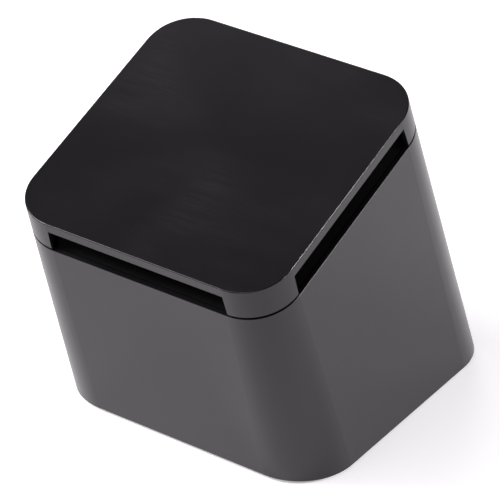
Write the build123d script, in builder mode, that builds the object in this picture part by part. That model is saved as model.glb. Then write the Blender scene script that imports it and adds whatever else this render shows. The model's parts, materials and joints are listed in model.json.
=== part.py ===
from build123d import *
import os
from math import cos, radians, sin, tan

# Countertop napkin dispenser: a drafted square box that leans forward on a level foot, with a
# lift-off lid, a straight well for folded napkins and a sprung platform under the stack.
#
# Millimetres and degrees. +Z is up, the box leans towards -Y (its front), and the origin is on
# the table under the middle of the whole box. A depth is measured down the leaning axis from the
# lid's top face.

# Driving dimensions: the outer box
top_size = 150.0  # across the flats of the lid's top face
corner_radius = 24.0  # of the lid's top face
lean = 20.35  # angle between the box's axis and the vertical
draft = 2.68  # each wall widens towards the foot by this angle
axis_length = 166.6  # down the axis, from the lid's top to the shell's foot
foot_gap = 1.2  # shell's foot above the table

# Lid
lid_height = 18.3
lid_roof = 2.4
lid_wall = 2.4
slot_top = 5.2  # depth of the slot's upper edge; the body's rim is its lower edge
slot_length = 101.2  # of the slot's upper edge
slot_flare = 3.5  # the slot's ends open towards the rim by this angle
edge_round = 0.6
seam_gap = 1.2  # shadow line between the lid's legs and the body
seam_step = 1.0  # how far the shadow line is cut in from the faces
seam_chamfer = 0.15
inner_plate_size = 128.4
inner_plate_radius = 12.0
inner_plate_thickness = 1.8
inner_plate_depth = 4.0
lid_screw_offset = 50.0
lid_boss_radius = 3.2
lid_screw_length = 4.3
lid_screw_hole = 2.8
tongue_depth = 5.0  # below the seam
tongue_inner = 20.5  # radii about the corner's centre
tongue_outer = 21.9
tongue_half_angle = 10.0
tongue_root = 6.0  # above the seam
tongue_flare = 1.0  # thicker at the root by this much
notch_clearance = 0.6  # round the tongues, in the well's flange
notch_length = 6.0

# Magnets that hold the lid, and the discs under them
magnet_x = 57.0
magnet_y = 69.3
magnet_radius = 2.5
magnet_height = 3.0
magnet_post_radius = 3.6
strike_radius = 3.0
strike_thickness = 1.0

# Body shell
body_wall = 2.5
foot_chamfer = 0.6

# Well for the napkins
well_size = 130.0
well_radius = 4.0
well_wall = 1.6
well_bottom = 135.5
flange_drop = 0.3  # flange's top below the rim
flange_thickness = 2.0
flange_size = 145.6
flange_radius = 21.8
window_width = 10.0
window_bottom = 133.0
bead_height = 2.0
bead_width = 1.2
well_screw_x = 70.1
well_screw_y = 57.0
well_boss_radius = 3.2
well_boss_length = 26.0
well_screw_length = 9.0

# Platform
platform_drop = 0.4  # raised platform's top below the rim
platform_size = 129.0
platform_radius = 3.5
platform_thickness = 2.2
platform_edge = 0.6
skirt_depth = 20.0
skirt_wall = 1.6
lug_width = 8.0
lug_height = 4.0
lug_reach = 68.2
rib_width = 1.6
rib_height = 6.0
rib_clearance = 1.2  # round the retainer
retainer_boss_height = 3.0
retainer_boss_radius = 3.4
retainer_thickness = 2.0
retainer_outer = 36.5
retainer_inner = 21.0
collar_outer = 25.2
collar_wall = 1.8
collar_height = 6.0
retainer_screw_offset = 23.0
retainer_screw_length = 5.5
retainer_screw_hole = 4.0

# Spring and its seat
spring_radius = 27.0  # to the middle of the wire
wire_radius = 0.9
spring_turns = 7.5
seat_depth = 148.0
tower_radius = 31.0
tower_wall = 2.4
tower_reach = 30.0  # blank below and above the seat's face
spigot_wall = 2.0
seat_flange_width = 74.0
seat_flange_length = 84.0
seat_flange_thickness = 2.4
seat_flange_radius = 8.0
seat_screw_x = 30.0
seat_screw_y = 35.0
seat_screw_length = 5.0

# Base plate, its screws and the feet
plate_recess = 0.6  # plate's underside above the shell's foot
plate_thickness = 4.0
plate_clearance = 0.25
base_screw_x = 74.2
base_screw_y = 48.0
base_boss_radius = 4.2
base_boss_length = 26.0
foot_x = 62.0
foot_y = 66.0
foot_radius = 7.0
foot_edge = 0.5
foot_pocket = 1.2
foot_pocket_clearance = 0.2

# Screws: radius of the shank, radius and height of the head
small_screw = 1.1
small_head = 2.1
small_head_height = 1.4
base_screw = 1.45
base_head = 2.8
base_head_height = 1.6
base_head_depth = 2.9  # the heads' seats, up the axis from the shell's foot
base_screw_length = 14.0
head_round = 0.4  # of the head's height
recess_width = 0.6
recess_reach = 0.5  # of the head's radius
recess_depth = 0.6  # of the head's height
pilot_clearance = 0.05
shank_clearance = 0.2
pocket_clearance = 0.05
overrun = 1.0  # cuts and blanks run past their piece by this much

# Places worked out from the driving dimensions
slope = tan(radians(draft))
tilt = radians(lean)
corner_centre = top_size / 2 - corner_radius
plate_bottom = foot_gap + plate_recess
plate_top = plate_bottom + plate_thickness
flange_depth = lid_height + flange_drop
flange_bottom = flange_depth + flange_thickness
platform_depth = lid_height + platform_drop
skirt_bottom = platform_depth + skirt_depth
window_top = skirt_bottom - lug_height
retainer_depth = platform_depth + platform_thickness + retainer_boss_height
spring_top = retainer_depth + retainer_thickness

# The rear wall meets the foot at rear_reach behind the axis and rear_depth down it
rear_reach = (top_size / 2 + slope * axis_length) / (1 - slope * tan(tilt))
rear_depth = axis_length + rear_reach * tan(tilt)
top_y = (top_size / 2 * cos(tilt) - rear_reach * cos(tilt) - rear_depth * sin(tilt)) / 2
top_z = foot_gap + axis_length * cos(tilt)
foot_centre_y = top_y + axis_length * sin(tilt)

lid_top = Plane(origin=(0, top_y, top_z), x_dir=(1, 0, 0), z_dir=(0, -sin(tilt), cos(tilt)))
axis_up = Axis(lid_top.origin, lid_top.z_dir)


def level(depth):
    """The plane square to the leaning axis at this depth."""
    return lid_top.offset(-depth)


def four_corners(x, y):
    """Four mirrored places round a plane's origin."""
    return [(-x, -y), (x, -y), (x, y), (-x, y)]


def facing_down(depth, x=0.0, y=0.0):
    """The plane at this depth whose normal runs down the axis, moved to this place."""
    return Plane(level(depth) * Location((x, y, 0), (180, 0, 0)))


def corner_levels(depth):
    """A plane at each corner's centre, its x running out along the diagonal."""
    planes = []
    for x, y, turn in ((-1, -1, 225), (1, -1, 315), (1, 1, 45), (-1, 1, 135)):
        place = Location((x * corner_centre, y * corner_centre, 0), (0, 0, turn))
        planes.append(Plane(level(depth) * place))
    return planes


def drafted_block(upper, lower, inset=0.0, mode=Mode.ADD):
    """The box's drafted form between two depths, with its walls moved in by the inset."""
    growth = lower * slope - inset
    with BuildSketch(level(lower)) as profile:
        RectangleRounded(top_size + 2 * growth, top_size + 2 * growth, corner_radius + growth)
    extrude(profile.sketch, amount=lower - upper, taper=draft, mode=mode)


def square_block(upper, lower, size, radius, mode=Mode.ADD):
    """A straight square block along the axis between two depths."""
    with BuildSketch(level(lower)) as profile:
        RectangleRounded(size, size, radius)
    extrude(profile.sketch, amount=lower - upper, mode=mode)


def round_block(plane, height, radius, places, mode=Mode.ADD):
    """A round block of this height on the plane at each place."""
    with BuildSketch(plane) as profile:
        with Locations(*places):
            Circle(radius)
    extrude(profile.sketch, amount=height, mode=mode)


def cross_recess(plane, places, head, height):
    """Cut a cross-shaped driver recess into each screw head of this radius and height."""
    reach = head * recess_reach
    with BuildSketch(plane) as profile:
        with Locations(*places):
            Rectangle(2 * reach, recess_width)
            Rectangle(recess_width, 2 * reach)
    extrude(profile.sketch, amount=-height * recess_depth, mode=Mode.SUBTRACT)


def pan_screws(seat, places, shank, head, length, head_height):
    """Pan-head screws under a seat plane that faces the way the heads stand."""
    round_block(seat, -length, shank, places)
    round_block(seat, head_height, head, places)
    fillet(edges().filter_by(GeomType.CIRCLE).group_by(Axis(seat.origin, seat.z_dir))[-1],
           head_height * head_round)
    cross_recess(seat.offset(head_height), places, head, head_height)


def flat_screws(face, places, shank, head, length):
    """Countersunk screws whose flat heads lie in the face plane."""
    cone = head - shank
    for x, y in places:
        with Locations(face.offset(-cone / 2) * Location((x, y, 0))):
            Cone(bottom_radius=shank, top_radius=head, height=cone)
    round_block(face, -length, shank, places)
    cross_recess(face, places, head, cone)


def flat_holes(face, places, shank, head, length):
    """Countersunk holes with clearance round flat_screws."""
    cone = head - shank
    for x, y in places:
        with Locations(face.offset(-cone / 2) * Location((x, y, 0))):
            Cone(bottom_radius=shank + pilot_clearance, top_radius=head + pilot_clearance,
                 height=cone, mode=Mode.SUBTRACT)
    round_block(face, -length, shank + pilot_clearance, places, mode=Mode.SUBTRACT)


def finish(piece, name):
    """Name the piece and write it out."""
    piece.part.label = name
    export_step(piece.part, f"parts/{name}.step")


os.makedirs("parts", exist_ok=True)

magnet_places = four_corners(magnet_x, magnet_y)
well_screw_places = four_corners(well_screw_x, well_screw_y)
lid_screw_places = four_corners(lid_screw_offset, lid_screw_offset)
retainer_screw_places = four_corners(retainer_screw_offset, retainer_screw_offset)
base_screw_places = four_corners(base_screw_x, base_screw_y)
seat_screw_places = four_corners(seat_screw_x, seat_screw_y)

# ---- Body shell -------------------------------------------------------------------------------

# Bosses for the base plate's screws, tied to the side walls and cut level above the plate
with BuildPart() as base_bosses:
    for side in (-1, 1):
        for end in (-1, 1):
            y = end * base_screw_y
            floor_depth = axis_length + y * tan(tilt)
            boss_top = floor_depth - base_boss_length
            wall_inside = top_size / 2 + boss_top * slope - body_wall / 2
            with BuildSketch(level(boss_top)):
                with Locations((side * base_screw_x, y)):
                    Circle(base_boss_radius)
                with Locations((side * (base_screw_x + wall_inside) / 2, y)):
                    Rectangle(wall_inside - base_screw_x, 2 * base_boss_radius)
            extrude(amount=-2 * base_boss_length)
    split(bisect_by=Plane.XY.offset(plate_top), keep=Keep.TOP)

# Bosses under the well's flange, for its screws on the sides and lid discs at front and rear
with BuildPart() as well_bosses:
    wall_inside = top_size / 2 + flange_bottom * slope - body_wall / 2
    tie_length = wall_inside - well_screw_x
    tie_middle = (well_screw_x + wall_inside) / 2
    with BuildSketch(level(flange_bottom + well_boss_length)):
        with Locations(*well_screw_places, *four_corners(magnet_x, well_screw_x)):
            Circle(well_boss_radius)
        with Locations(*four_corners(tie_middle, well_screw_y)):
            Rectangle(tie_length, 2 * well_boss_radius)
        with Locations(*four_corners(magnet_x, tie_middle)):
            Rectangle(2 * well_boss_radius, tie_length)
    extrude(amount=well_boss_length)
    drafted_block(lid_height, rear_depth, inset=body_wall / 2, mode=Mode.INTERSECT)

with BuildPart() as body_shell:
    drafted_block(lid_height, rear_depth + overrun)
    chamfer(faces().sort_by(axis_up)[-1].edges(), seam_chamfer)
    drafted_block(lid_height - overrun, rear_depth + overrun, inset=body_wall, mode=Mode.SUBTRACT)
    split(bisect_by=Plane.XY.offset(foot_gap), keep=Keep.TOP)
    chamfer(faces().sort_by(Axis.Z)[0].outer_wire().edges(), foot_chamfer)
    add(base_bosses.part)
    add(well_bosses.part)
    round_block(level(flange_bottom), -well_screw_length, small_screw + pilot_clearance,
                well_screw_places, mode=Mode.SUBTRACT)
    base_hole_length = base_head_depth + base_screw_length + overrun
    for x, y in base_screw_places:
        round_block(level(axis_length + y * tan(tilt)), base_hole_length,
                    base_screw + pilot_clearance, [(x, y)], mode=Mode.SUBTRACT)
finish(body_shell, "body_shell")

# ---- Well, its screws and the lid's strike discs ----------------------------------------------

with BuildPart() as napkin_magazine:
    square_block(flange_depth, well_bottom, well_size + 2 * well_wall, well_radius + well_wall)
    square_block(well_bottom - bead_height, well_bottom, well_size + 2 * (well_wall + bead_width),
                 well_radius + well_wall + bead_width)
    square_block(flange_depth, flange_bottom, flange_size, flange_radius)
    square_block(flange_depth - overrun, well_bottom + overrun, well_size, well_radius,
                 mode=Mode.SUBTRACT)
    # Windows for the platform's lugs
    window_reach = well_size + 2 * (well_wall + overrun)
    with BuildSketch(level(window_bottom)):
        Rectangle(window_reach, window_width)
        Rectangle(window_width, window_reach)
    extrude(amount=window_bottom - window_top, mode=Mode.SUBTRACT)
    # Notches for the lid's tongues
    notch_half = tongue_outer * tan(radians(tongue_half_angle)) + notch_clearance
    with BuildSketch(*corner_levels(flange_bottom + overrun)):
        with Locations((tongue_inner - notch_clearance, 0)):
            Rectangle(notch_length, 2 * notch_half, align=(Align.MIN, Align.CENTER))
    extrude(amount=flange_thickness + 2 * overrun, mode=Mode.SUBTRACT)
    flat_holes(level(flange_depth), well_screw_places, small_screw, small_head,
               flange_thickness + overrun)
    round_block(level(flange_depth), -(strike_thickness + pocket_clearance),
                strike_radius + pocket_clearance, magnet_places, mode=Mode.SUBTRACT)
finish(napkin_magazine, "napkin_magazine")

with BuildPart() as magazine_screws:
    flat_screws(level(flange_depth), well_screw_places, small_screw, small_head, well_screw_length)
finish(magazine_screws, "magazine_screws")

for number, place in enumerate(magnet_places, start=1):
    with BuildPart() as strike_disc:
        round_block(level(flange_depth), -strike_thickness, strike_radius, [place])
    finish(strike_disc, f"strike_disc_{number}")

# ---- Base plate, its screws and the feet ------------------------------------------------------

with BuildPart() as base_plate:
    drafted_block(axis_length - rear_reach, rear_depth + overrun, inset=body_wall + plate_clearance)
    split(bisect_by=Plane.XY.offset(plate_bottom), keep=Keep.TOP)
    split(bisect_by=Plane.XY.offset(plate_top), keep=Keep.BOTTOM)
    for x, y in base_screw_places:
        below = level(axis_length + y * tan(tilt) + plate_thickness)
        round_block(below, 3 * plate_thickness, base_screw + shank_clearance, [(x, y)],
                    mode=Mode.SUBTRACT)
        round_block(below, base_head_depth + plate_thickness, base_head + shank_clearance,
                    [(x, y)], mode=Mode.SUBTRACT)
    foot_places = [(x, foot_centre_y + y) for x, y in four_corners(foot_x, foot_y)]
    round_block(Plane.XY.offset(plate_bottom), foot_pocket, foot_radius + foot_pocket_clearance,
                foot_places, mode=Mode.SUBTRACT)
    seat_holes = [(x, foot_centre_y + y) for x, y in seat_screw_places]
    round_block(Plane.XY.offset(plate_bottom), plate_thickness, small_screw + pilot_clearance,
                seat_holes, mode=Mode.SUBTRACT)
finish(base_plate, "base_plate")

with BuildPart() as base_screws:
    for x, y in base_screw_places:
        head_seat = facing_down(axis_length + y * tan(tilt) - base_head_depth, x, y)
        pan_screws(head_seat, [(0, 0)], base_screw, base_head, base_screw_length, base_head_height)
finish(base_screws, "base_screws")

foot_names = ["foot_front_left", "foot_front_right", "foot_rear_right", "foot_rear_left"]
for foot_name, place in zip(foot_names, foot_places):
    with BuildPart() as foot:
        round_block(Plane.XY, plate_bottom + foot_pocket, foot_radius, [place])
        chamfer(edges().group_by(Axis.Z)[0], foot_edge)
    finish(foot, foot_name)

# ---- Spring seat, its screws and the spring ---------------------------------------------------

with BuildPart() as spring_seat:
    round_block(level(seat_depth), -tower_reach, tower_radius, [(0, 0)])
    split(bisect_by=Plane.XY.offset(plate_top), keep=Keep.TOP)
    with BuildSketch(Plane.XY.offset(plate_top)):
        with Locations((0, foot_centre_y)):
            RectangleRounded(seat_flange_width, seat_flange_length, seat_flange_radius)
    extrude(amount=seat_flange_thickness)
    # Clear the seat's face, then hollow the tower from below
    round_block(level(seat_depth), tower_reach, tower_radius, [(0, 0)], mode=Mode.SUBTRACT)
    round_block(level(seat_depth + tower_wall), -tower_reach, tower_radius - tower_wall, [(0, 0)],
                mode=Mode.SUBTRACT)
    with BuildSketch(level(seat_depth)):
        Circle(collar_outer)
        Circle(collar_outer - spigot_wall, mode=Mode.SUBTRACT)
    extrude(amount=collar_height)
    round_block(Plane.XY.offset(plate_top), seat_flange_thickness, small_screw + shank_clearance,
                seat_holes, mode=Mode.SUBTRACT)
finish(spring_seat, "spring_seat")

with BuildPart() as seat_screws:
    seat_screw_plane = Plane.XY.offset(plate_top + seat_flange_thickness)
    pan_screws(seat_screw_plane, seat_holes, small_screw, small_head, seat_screw_length,
               small_head_height)
finish(seat_screws, "seat_screws")

# Compression spring, its two ends ground flat on the seat and the retainer
spring_length = seat_depth - spring_top
with BuildPart() as lift_spring:
    with BuildLine():
        coil = Helix(pitch=spring_length / spring_turns, height=spring_length,
                     radius=spring_radius, center=level(seat_depth).origin,
                     direction=level(seat_depth).z_dir)
    with BuildSketch(Plane(origin=coil @ 0, z_dir=coil % 0)):
        Circle(wire_radius)
    sweep(path=coil, is_frenet=True)
    split(bisect_by=level(seat_depth), keep=Keep.TOP)
    split(bisect_by=level(spring_top), keep=Keep.BOTTOM)
finish(lift_spring, "lift_spring")

# ---- Platform, spring retainer and screws -----------------------------------------------------

with BuildPart() as follower_plate:
    square_block(platform_depth, skirt_bottom, platform_size, platform_radius)
    chamfer(faces().sort_by(axis_up)[-1].edges(), platform_edge)
    square_block(platform_depth + platform_thickness, skirt_bottom + overrun,
                 platform_size - 2 * skirt_wall, platform_radius - skirt_wall, mode=Mode.SUBTRACT)
    underside = level(platform_depth + platform_thickness)
    # Ribs from the retainer's seat to the skirt
    with BuildSketch(underside):
        Rectangle(platform_size - skirt_wall, rib_width)
        Rectangle(rib_width, platform_size - skirt_wall)
        Circle(retainer_outer + rib_clearance, mode=Mode.SUBTRACT)
    extrude(amount=-rib_height)
    round_block(underside, -retainer_boss_height, retainer_boss_radius, retainer_screw_places)
    round_block(underside.offset(-retainer_boss_height), retainer_screw_hole,
                small_screw + pilot_clearance, retainer_screw_places, mode=Mode.SUBTRACT)
    # Stop lugs that run in the well's windows
    with BuildSketch(level(skirt_bottom)):
        Rectangle(2 * lug_reach, lug_width)
        Rectangle(lug_width, 2 * lug_reach)
        Rectangle(platform_size - skirt_wall, platform_size - skirt_wall, mode=Mode.SUBTRACT)
    extrude(amount=lug_height)
finish(follower_plate, "follower_plate")

with BuildPart() as spring_retainer:
    with BuildSketch(level(retainer_depth)):
        Circle(retainer_outer)
        Circle(retainer_inner, mode=Mode.SUBTRACT)
    extrude(amount=-retainer_thickness)
    with BuildSketch(level(spring_top)):
        Circle(collar_outer)
        Circle(collar_outer - collar_wall, mode=Mode.SUBTRACT)
    extrude(amount=-collar_height)
    round_block(level(retainer_depth), -retainer_thickness, small_screw + shank_clearance,
                retainer_screw_places, mode=Mode.SUBTRACT)
finish(spring_retainer, "spring_retainer")

with BuildPart() as retainer_screws:
    pan_screws(facing_down(spring_top), retainer_screw_places, small_screw, small_head,
               retainer_screw_length, small_head_height)
finish(retainer_screws, "retainer_screws")

# ---- Lid --------------------------------------------------------------------------------------

with BuildPart() as lid_shell:
    drafted_block(0, lid_height - seam_gap)
    fillet(faces().sort_by(axis_up)[-1].edges(), edge_round)
    chamfer(faces().sort_by(axis_up)[0].edges(), seam_chamfer)
    # The legs stand on a step set in from the faces, which leaves the shadow line
    drafted_block(lid_roof, lid_height, inset=seam_step)
    drafted_block(lid_roof, lid_height + overrun, inset=lid_wall, mode=Mode.SUBTRACT)
    slot_reach = top_size + 2 * lid_height
    slot_depth = lid_height + overrun - slot_top
    slot_foot = slot_length + 2 * slot_depth * tan(radians(slot_flare))
    for across, along in ((slot_reach, slot_foot), (slot_foot, slot_reach)):
        with BuildSketch(level(lid_height + overrun)):
            Rectangle(across, along)
        extrude(amount=slot_depth, taper=slot_flare, mode=Mode.SUBTRACT)
    round_block(level(lid_height), lid_height - lid_roof, magnet_post_radius, magnet_places)
    round_block(level(lid_height), magnet_height + pocket_clearance,
                magnet_radius + pocket_clearance, magnet_places, mode=Mode.SUBTRACT)
    round_block(level(inner_plate_depth), inner_plate_depth - lid_roof, lid_boss_radius,
                lid_screw_places)
    round_block(level(inner_plate_depth), lid_screw_hole, small_screw + pilot_clearance,
                lid_screw_places, mode=Mode.SUBTRACT)
    # Tongues that drop inside the body's corners, rooted on the legs
    root_outer = tongue_outer + tongue_flare
    for foot_depth, outer in ((lid_height, root_outer), (lid_height + tongue_depth, tongue_outer)):
        with BuildSketch(*corner_levels(foot_depth)):
            with BuildLine():
                outer_arc = CenterArc((0, 0), outer, -tongue_half_angle, 2 * tongue_half_angle)
                inner_arc = CenterArc((0, 0), tongue_inner, -tongue_half_angle,
                                      2 * tongue_half_angle)
                Line(outer_arc @ 0, inner_arc @ 0)
                Line(outer_arc @ 1, inner_arc @ 1)
            make_face()
        extrude(amount=tongue_root)
finish(lid_shell, "lid_shell")

with BuildPart() as lid_inner_plate:
    plate_foot = inner_plate_depth + inner_plate_thickness
    square_block(inner_plate_depth, plate_foot, inner_plate_size, inner_plate_radius)
    flat_holes(facing_down(plate_foot), lid_screw_places, small_screw, small_head,
               inner_plate_thickness + overrun)
finish(lid_inner_plate, "lid_inner_plate")

with BuildPart() as lid_screws:
    flat_screws(facing_down(plate_foot), lid_screw_places, small_screw, small_head,
                lid_screw_length)
finish(lid_screws, "lid_screws")

for number, place in enumerate(magnet_places, start=1):
    with BuildPart() as lid_magnet:
        round_block(level(lid_height), magnet_height, magnet_radius, [place])
    finish(lid_magnet, f"lid_magnet_{number}")
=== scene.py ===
import json
from math import cos, pi, radians, sin

import bmesh
import bpy
from mathutils import Matrix, Vector


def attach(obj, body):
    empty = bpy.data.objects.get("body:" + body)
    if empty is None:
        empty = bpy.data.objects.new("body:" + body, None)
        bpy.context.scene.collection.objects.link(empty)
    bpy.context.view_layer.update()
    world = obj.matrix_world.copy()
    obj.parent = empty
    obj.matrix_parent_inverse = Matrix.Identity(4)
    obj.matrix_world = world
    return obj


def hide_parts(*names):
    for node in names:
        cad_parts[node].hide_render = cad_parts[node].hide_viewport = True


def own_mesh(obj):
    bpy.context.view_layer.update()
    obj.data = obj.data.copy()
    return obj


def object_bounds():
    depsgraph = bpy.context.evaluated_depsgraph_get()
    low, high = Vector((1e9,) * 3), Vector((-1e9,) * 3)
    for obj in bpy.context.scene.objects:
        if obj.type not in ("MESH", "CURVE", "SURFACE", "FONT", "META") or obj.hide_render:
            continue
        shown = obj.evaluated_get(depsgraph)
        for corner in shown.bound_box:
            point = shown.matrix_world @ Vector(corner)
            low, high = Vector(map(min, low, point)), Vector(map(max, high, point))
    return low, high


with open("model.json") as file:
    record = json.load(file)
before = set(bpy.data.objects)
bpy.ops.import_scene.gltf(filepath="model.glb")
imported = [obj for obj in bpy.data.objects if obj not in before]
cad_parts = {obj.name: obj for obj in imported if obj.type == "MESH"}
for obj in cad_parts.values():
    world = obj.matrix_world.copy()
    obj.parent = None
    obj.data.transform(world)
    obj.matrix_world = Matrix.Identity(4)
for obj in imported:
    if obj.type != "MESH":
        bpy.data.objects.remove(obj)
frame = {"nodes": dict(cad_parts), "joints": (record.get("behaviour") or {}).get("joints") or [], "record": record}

# Napkin dispenser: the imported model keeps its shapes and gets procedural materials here. The lift
# spring, whose ends are plain in the CAD model, is wound again with closed, ground ends.
# Lengths are in metres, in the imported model's own frame, unless a comment says otherwise.

cad_low, cad_high = [Vector(corner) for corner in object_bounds()]
middle = (cad_low + cad_high) / 2
joints = {joint["name"]: joint for joint in frame["joints"]}

# The box's own directions: up its leaning axis, across it, and square to both towards the rear
box_axis = Vector(joints["platform_travel"]["axis"]).normalized()
sideways = Vector((1, 0, 0))
rearward = box_axis.cross(sideways)
lean = Vector((0, 0, 1)).angle(box_axis)


def halfway(values):
    """The middle of the range that the values span."""
    return (max(values) + min(values)) / 2


# ---- Camera -----------------------------------------------------------------------------------

camera_side = radians(33.16)  # round from the front (-Y) towards +X
camera_height = radians(31.25)  # above the level of what it looks at
camera_roll = radians(1.174)
camera_distance = 1.4155
camera_reach = 20.0  # nothing farther off is drawn
lens_length = 201.6  # millimetres, as is the sensor's width
sensor_width = 36.0
aim_offset = Vector((-0.00112, -0.00551, -0.00839))  # from the middle of the object's box


def build_camera():
    """A long lens at the height and side that the object is looked at from."""
    away = Vector((sin(camera_side) * cos(camera_height), -cos(camera_side) * cos(camera_height),
                   sin(camera_height)))
    data = bpy.data.cameras.new("camera")
    data.lens = lens_length
    data.sensor_width = sensor_width
    data.clip_end = camera_reach
    camera = bpy.data.objects.new("camera", data)
    bpy.context.scene.collection.objects.link(camera)
    place = Matrix.Translation(middle + aim_offset + away * camera_distance)
    turn = away.to_track_quat("Z", "Y").to_matrix().to_4x4()
    camera.matrix_world = place @ turn @ Matrix.Rotation(camera_roll, 4, "Z")
    bpy.context.scene.camera = camera


# ---- Light ------------------------------------------------------------------------------------

room_light = 0.03  # strength of the even light from the rest of the studio
light_colour = (1.0, 0.97, 1.0)
floor_glow = 0.39  # the pale floor is a sheet lit from below, which softens its shadows

# Each soft box's place, the length of its sides, and its power in watts
soft_boxes = {
    "key_light": ((-1.3, -0.9, 1.3), 0.9, 38.5),  # from the left
    "front_light": ((-0.5, -1.3, 1.4), 1.5, 19.5),
    "fill_light": ((1.6, 0.6, 1.1), 0.3, 28.5),  # from the right
    "rear_light": ((-1.1, 1.2, 1.3), 0.9, 8.6),  # for the sheen on the lid's top
}


def build_world():
    """The dim, even light of the studio round the soft boxes."""
    world = bpy.data.worlds.new("studio")
    bpy.context.scene.world = world
    world.use_nodes = True
    sky = world.node_tree.nodes["Background"]
    sky.inputs["Color"].default_value = (*light_colour, 1.0)
    sky.inputs["Strength"].default_value = room_light


def build_lights():
    """Square soft boxes, each turned to the middle of the object."""
    for name, (place, size, power) in soft_boxes.items():
        data = bpy.data.lights.new(name, "AREA")
        data.shape = "SQUARE"
        data.size = size
        data.energy = power
        data.color = light_colour
        light = bpy.data.objects.new(name, data)
        bpy.context.scene.collection.objects.link(light)
        light.location = place
        light.rotation_euler = (Vector(place) - middle).to_track_quat("Z", "Y").to_euler()


# ---- Materials --------------------------------------------------------------------------------

edge_round = 0.0006  # radius of the edge round the lid's top

# Each finish's colour where it is clean, and where it is worn or dusty. The inner plastic's two are darker than
# the shell's, as painted shade for the inside of the box.
shell_clean, shell_worn = (0.0034, 0.0031, 0.0036), (0.0125, 0.0116, 0.0128)
inner_painted_shade, inner_dusty_painted_shade = (0.0014, 0.0013, 0.0015), (0.0034, 0.0032, 0.0034)
rubber_clean, rubber_dusty = (0.02, 0.02, 0.02), (0.045, 0.043, 0.04)

# The floor's two shades are close, so that it is only faintly uneven
floor_dark, floor_pale = (0.875, 0.875, 0.875), (0.885, 0.885, 0.883)


def lid_middle():
    """The middle of the lid's top face."""
    points = [vertex.co for vertex in frame["nodes"]["lid_shell"].data.vertices]
    top = max(point.dot(box_axis) for point in points)
    return box_axis * top + rearward * halfway([point.dot(rearward) for point in points])


lid_centre = lid_middle()


class Graph:
    """A material's nodes round its Principled shader."""

    def __init__(self, name, ior=1.5):
        self.material = bpy.data.materials.new(name)
        self.material.use_nodes = True
        self.nodes = self.material.node_tree.nodes
        self.links = self.material.node_tree.links
        self.shader = self.nodes["Principled BSDF"]
        self.constant("IOR", ior)

    def constant(self, socket, value):
        """Set what is the same all over the surface on the shader's own socket."""
        self.shader.inputs[socket].default_value = value

    def varied(self, socket, output):
        """Lead what varies over the surface into the shader's socket."""
        self.join(output, self.shader.inputs[socket])

    def join(self, output, target):
        """Link one node's output to another's input."""
        self.links.new(output, target)

    def node(self, kind, **inputs):
        """A shader node with sockets set by name, underscores standing for the names' spaces."""
        made = self.nodes.new("ShaderNode" + kind)
        for key, value in inputs.items():
            made.inputs[key.replace("_", " ")].default_value = value
        return made

    def box_space(self, stretch=(1.0, 1.0, 1.0)):
        """Places measured from the lid's middle, z along the leaning axis, times a stretch."""
        where = self.nodes.new("ShaderNodeTexCoord")
        turned = self.node("Mapping", Location=lid_centre, Rotation=(lean, 0.0, 0.0))
        turned.vector_type = "TEXTURE"
        self.join(where.outputs["Object"], turned.inputs["Vector"])
        scaled = self.node("Mapping", Scale=stretch)
        self.join(turned.outputs["Vector"], scaled.inputs["Vector"])
        return scaled.outputs["Vector"]

    def depth(self, vector):
        """How far a place lies below the lid's top face."""
        parts = self.nodes.new("ShaderNodeSeparateXYZ")
        self.join(vector, parts.inputs["Vector"])
        return self.maths("MULTIPLY", parts.outputs["Z"], -1.0)

    def noise(self, vector, scale, detail=3.0, roughness=0.5, distortion=0.0):
        """Noise from 0 to 1, with about so many cells to each unit of the vector."""
        made = self.node("TexNoise", Scale=scale, Detail=detail, Roughness=roughness,
                         Distortion=distortion)
        self.join(vector, made.inputs["Vector"])
        return made.outputs["Fac"]

    def ranged(self, value, low, high, start=0.0, end=1.0):
        """Low where the value is at its start, high where it is at its end, even between."""
        made = self.node("MapRange", From_Min=start, From_Max=end, To_Min=low, To_Max=high)
        self.join(value, made.inputs["Value"])
        return made.outputs["Result"]

    def mask(self, value, start, end):
        """Nothing up to the start, everything past the end."""
        return self.ranged(value, 0.0, 1.0, start, end)

    def maths(self, operation, first, second):
        """One operation on two values, each an output or a plain number."""
        made = self.nodes.new("ShaderNodeMath")
        made.operation = operation
        for socket, value in zip(made.inputs, (first, second)):
            if isinstance(value, (int, float)):
                socket.default_value = value
            else:
                self.join(value, socket)
        return made.outputs["Value"]

    def tint(self, factor, dark, light):
        """A colour between two, by a factor."""
        made = self.nodes.new("ShaderNodeMix")
        made.data_type = "RGBA"
        made.inputs["A"].default_value = (*dark, 1.0)
        made.inputs["B"].default_value = (*light, 1.0)
        self.join(factor, made.inputs["Factor"])
        return made.outputs["Result"]

    def bump(self, height, distance, below=None):
        """Relief of a height up to a distance, on top of any relief below it."""
        made = self.node("Bump", Strength=1.0, Distance=distance)
        self.join(height, made.inputs["Height"])
        if below is not None:
            self.join(below, made.inputs["Normal"])
        return made.outputs["Normal"]


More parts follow.
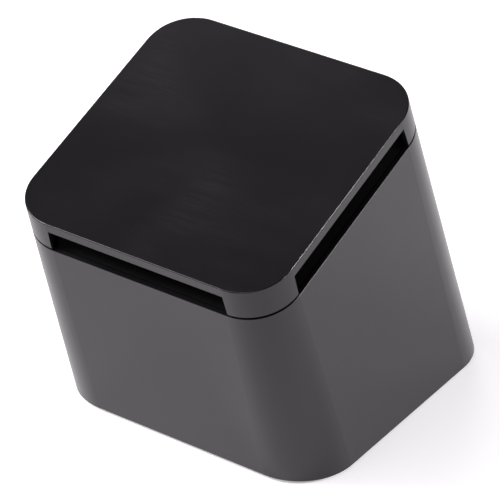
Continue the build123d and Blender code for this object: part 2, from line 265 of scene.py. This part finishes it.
def shell_material():
    """Satin black moulded plastic: grain, flow streaks, handling smears, scuffs and hairlines."""
    g = Graph("satin_black_plastic")
    g.constant("Specular IOR Level", 0.36)
    g.constant("Specular Tint", (0.985, 0.945, 1.0, 1.0))
    place = g.box_space()
    drop = g.depth(place)
    grain = g.noise(place, scale=2600.0, detail=2.0, roughness=0.6)
    smear = g.noise(place, scale=22.0)
    streak = g.noise(g.box_space((9.0, 60.0, 60.0)), scale=1.6)
    waves = g.noise(place, scale=34.0, detail=1.0)

    # Scuffs run across the lid's top, come in patches and are faint below its edge
    scuff = g.noise(g.box_space((42.0, 900.0, 500.0)), scale=1.0, roughness=0.6)
    patch = g.noise(place, scale=15.0, detail=2.0, distortion=0.3)
    scuff = g.maths("MULTIPLY", g.mask(scuff, 0.4, 0.75), g.mask(patch, 0.46, 0.68))
    scuff = g.maths("MULTIPLY", scuff, g.ranged(drop, 1.0, 0.12, start=0.0, end=0.004))
    hairline = g.noise(g.box_space((1500.0, 30.0, 24.0)), scale=1.0, detail=2.0, roughness=0.7)
    hairline = g.mask(hairline, 0.66, 0.74)

    rough = g.maths("ADD", g.ranged(smear, 0.28, 0.315, start=0.25, end=0.75),
                    g.ranged(streak, -0.01, 0.015, start=0.2, end=0.8))
    rough = g.maths("ADD", rough, g.ranged(grain, -0.02, 0.02))
    # Handling polishes the rounded edge round the lid's top, but not the flat of the top itself
    edge = g.maths("MULTIPLY", g.mask(drop, edge_round * 0.03, edge_round * 0.12),
                   g.ranged(drop, 1.0, 0.0, start=edge_round * 0.9, end=edge_round * 1.3))
    g.varied("Roughness", g.maths("MULTIPLY", rough, g.ranged(edge, 1.0, 0.6)))

    worn = g.maths("ADD", g.ranged(patch, 0.0, 0.2, start=0.3, end=0.7), scuff)
    worn = g.maths("ADD", worn, g.ranged(hairline, 0.0, 0.35))
    g.varied("Base Color", g.tint(worn, shell_clean, shell_worn))
    g.varied("Normal", g.bump(grain, 0.000012, below=g.bump(waves, 0.000025)))
    return g.material


def inner_material():
    """Matt black moulded plastic, coarser than the outside and dulled by paper dust, its colour darkened below the
    shell's as painted shade for the inside of the box.
    """
    g = Graph("matt_black_plastic", ior=1.45)
    g.constant("Specular IOR Level", 0.15)
    place = g.box_space()
    grain = g.noise(place, scale=1500.0, roughness=0.6)
    rubbed = g.noise(g.box_space((140.0, 140.0, 6.0)), scale=1.2, detail=4.0, roughness=0.6)
    dust = g.noise(place, scale=40.0, detail=5.0, roughness=0.6, distortion=0.4)
    g.varied("Roughness", g.maths("ADD", g.ranged(rubbed, 0.62, 0.78, start=0.3, end=0.7),
                                  g.ranged(grain, -0.03, 0.03)))
    # Painted shade: the inner plastic's colour is darkened to stand for the shade inside the box, and is a little
    # paler where paper dust lies
    g.varied("Base Color", g.tint(g.mask(dust, 0.45, 0.75), inner_painted_shade, inner_dusty_painted_shade))
    g.varied("Normal", g.bump(grain, 0.00003))
    return g.material


def metal_material(name, dark, light, smoothest, roughest, fineness):
    """Plated or drawn steel, slightly uneven, with fine scratches along the leaning axis."""
    g = Graph(name)
    g.constant("Metallic", 1.0)
    cloud = g.noise(g.box_space(), scale=220.0, detail=4.0, roughness=0.6, distortion=0.3)
    scratch = g.noise(g.box_space((fineness, fineness, 60.0)), scale=6.0, detail=4.0,
                      roughness=0.7)
    g.varied("Roughness", g.maths("ADD", g.ranged(cloud, smoothest, roughest, start=0.3, end=0.7),
                                  g.ranged(scratch, -0.04, 0.05, start=0.3, end=0.7)))
    g.varied("Base Color", g.tint(g.mask(cloud, 0.3, 0.7), dark, light))
    g.varied("Normal", g.bump(scratch, 0.000015))
    return g.material


def rubber_material():
    """Dull black rubber with a pebbled skin and a trace of dust."""
    g = Graph("foot_rubber")
    place = g.box_space()
    pebble = g.noise(place, scale=900.0, roughness=0.6)
    dust = g.noise(place, scale=120.0, detail=4.0, roughness=0.6)
    g.varied("Roughness", g.ranged(pebble, 0.72, 0.9, start=0.3, end=0.7))
    g.varied("Base Color", g.tint(g.mask(dust, 0.45, 0.75), rubber_clean, rubber_dusty))
    g.varied("Normal", g.bump(pebble, 0.00005))
    return g.material


def floor_material():
    """A pale, faintly uneven studio floor."""
    g = Graph("studio_floor")
    g.constant("Roughness", 0.7)
    g.constant("Emission Color", (*light_colour, 1.0))
    g.constant("Emission Strength", floor_glow)
    patch = g.noise(g.box_space(), scale=3.0)
    g.varied("Base Color", g.tint(g.mask(patch, 0.3, 0.7), floor_dark, floor_pale))
    return g.material


def slot_materials():
    """The material of each of the record's slots."""
    return {
        "black_shell": shell_material(),
        "black_inner": inner_material(),
        "screw_steel": metal_material(
            "zinc_plated_steel", dark=(0.36, 0.37, 0.39), light=(0.5, 0.5, 0.5),
            smoothest=0.28, roughest=0.42, fineness=900.0),
        "strike_steel": metal_material(
            "plain_steel", dark=(0.4, 0.4, 0.4), light=(0.52, 0.51, 0.5),
            smoothest=0.3, roughest=0.45, fineness=600.0),
        "magnet_nickel": metal_material(
            "nickel_plate", dark=(0.5, 0.48, 0.44), light=(0.62, 0.6, 0.56),
            smoothest=0.12, roughest=0.22, fineness=700.0),
        "spring_wire": metal_material(
            "drawn_spring_wire", dark=(0.3, 0.3, 0.31), light=(0.44, 0.44, 0.45),
            smoothest=0.25, roughest=0.38, fineness=500.0),
        "foot_rubber": rubber_material(),
    }


def dress_nodes(finishes):
    """Give every CAD node the material of its slot."""
    for part in frame["record"]["subparts"]:
        node = frame["nodes"][part["node"]]
        node.data.materials.clear()
        node.data.materials.append(finishes[part["material_slot"]])


def add_object(name, mesh, material):
    """Put a finished mesh into the scene as an object with one material."""
    data = bpy.data.meshes.new(name)
    mesh.to_mesh(data)
    mesh.free()
    data.materials.append(material)
    made = bpy.data.objects.new(name, data)
    bpy.context.scene.collection.objects.link(made)
    return made


# ---- Lift spring ------------------------------------------------------------------------------

closed_turns = 1.15  # at each end
active_turns = 6.0
spring_turns = active_turns + 2 * closed_turns
closed_pitch = 1.02  # rise of a closed turn, in thicknesses of the wire
opening = 0.35  # share of a turn over which the coil opens from closed to active
height_samples = 60
wire_sides = 14
steps_per_turn = 44


def spring_height(turn, length, wire):
    """Height of the wire's middle after so many turns: closed ends, an even rise between them."""
    closed_rise = 2 * wire * closed_pitch
    active_rise = (length - 2 * closed_turns * closed_rise) / active_turns
    height = 0.0
    step = turn / height_samples
    for index in range(height_samples):
        at = (index + 0.5) * step
        from_end = min(at, spring_turns - at)
        share = min(max((from_end - closed_turns + opening / 2) / opening, 0.0), 1.0)
        smooth_share = share * share * (3 - 2 * share)
        height += (closed_rise + (active_rise - closed_rise) * smooth_share) * step
    return height


def measure_spring():
    """The CAD spring's foot, length, coil radius and wire radius."""
    points = [vertex.co for vertex in frame["nodes"]["lift_spring"].data.vertices]
    heights = [point.dot(box_axis) for point in points]
    foot = (box_axis * min(heights) + sideways * halfway([point.x for point in points])
            + rearward * halfway([point.dot(rearward) for point in points]))
    reaches = [((point - foot) - box_axis * (point - foot).dot(box_axis)).length
               for point in points]
    outer, inner = max(reaches), min(reaches)
    return foot, max(heights) - min(heights), (outer + inner) / 2, (outer - inner) / 2


def wind_spring(foot, length, radius, wire):
    """A mesh of the wire along its turns, ground flat at the foot and at the top."""
    mesh = bmesh.new()
    stretch = length / spring_height(spring_turns, length, wire)
    rings = []
    ring_steps = int(spring_turns * steps_per_turn)
    for index in range(ring_steps + 1):
        turn = spring_turns * index / ring_steps
        angle = 2 * pi * turn
        out = sideways * cos(angle) + rearward * sin(angle)
        centre = foot + out * radius + box_axis * spring_height(turn, length, wire) * stretch
        ring = []
        for corner in range(wire_sides):
            swing = 2 * pi * corner / wire_sides
            point = centre + out * (cos(swing) * wire) + box_axis * (sin(swing) * wire)
            rise = (point - foot).dot(box_axis)
            point += box_axis * (min(max(rise, 0.0), length) - rise)
            ring.append(mesh.verts.new(point))
        rings.append(ring)
    for first, second in zip(rings, rings[1:]):
        for corner in range(wire_sides):
            following = (corner + 1) % wire_sides
            mesh.faces.new((first[corner], first[following], second[following], second[corner]))
    mesh.faces.new(rings[0][::-1])
    mesh.faces.new(rings[-1])
    bmesh.ops.recalc_face_normals(mesh, faces=mesh.faces)
    return mesh


def build_spring(finish):
    """The spring between its seat and the retainer, wound in place of the CAD spring and fixed to the housing."""
    foot, length, radius, wire = measure_spring()
    spring = add_object("wound_spring", wind_spring(foot, length, radius, wire), finish)
    for face in spring.data.polygons:
        face.use_smooth = len(face.vertices) == 4
    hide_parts("lift_spring")
    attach(spring, "housing")
    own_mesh(spring)


# ---- Floor ------------------------------------------------------------------------------------

floor_reach = 12.0  # from its middle to each side


def build_floor():
    """A broad pale floor under the object."""
    mesh = bmesh.new()
    corners = [mesh.verts.new((x * floor_reach, y * floor_reach, cad_low.z))
               for x, y in ((-1, -1), (1, -1), (1, 1), (-1, 1))]
    mesh.faces.new(corners)
    floor = add_object("floor", mesh, floor_material())


# ---- The whole scene --------------------------------------------------------------------------

bpy.context.scene.view_settings.view_transform = "Standard"
build_camera()
build_world()
build_lights()
finishes = slot_materials()
dress_nodes(finishes)
build_spring(finishes["spring_wire"])
build_floor()

bpy.context.view_layer.update()
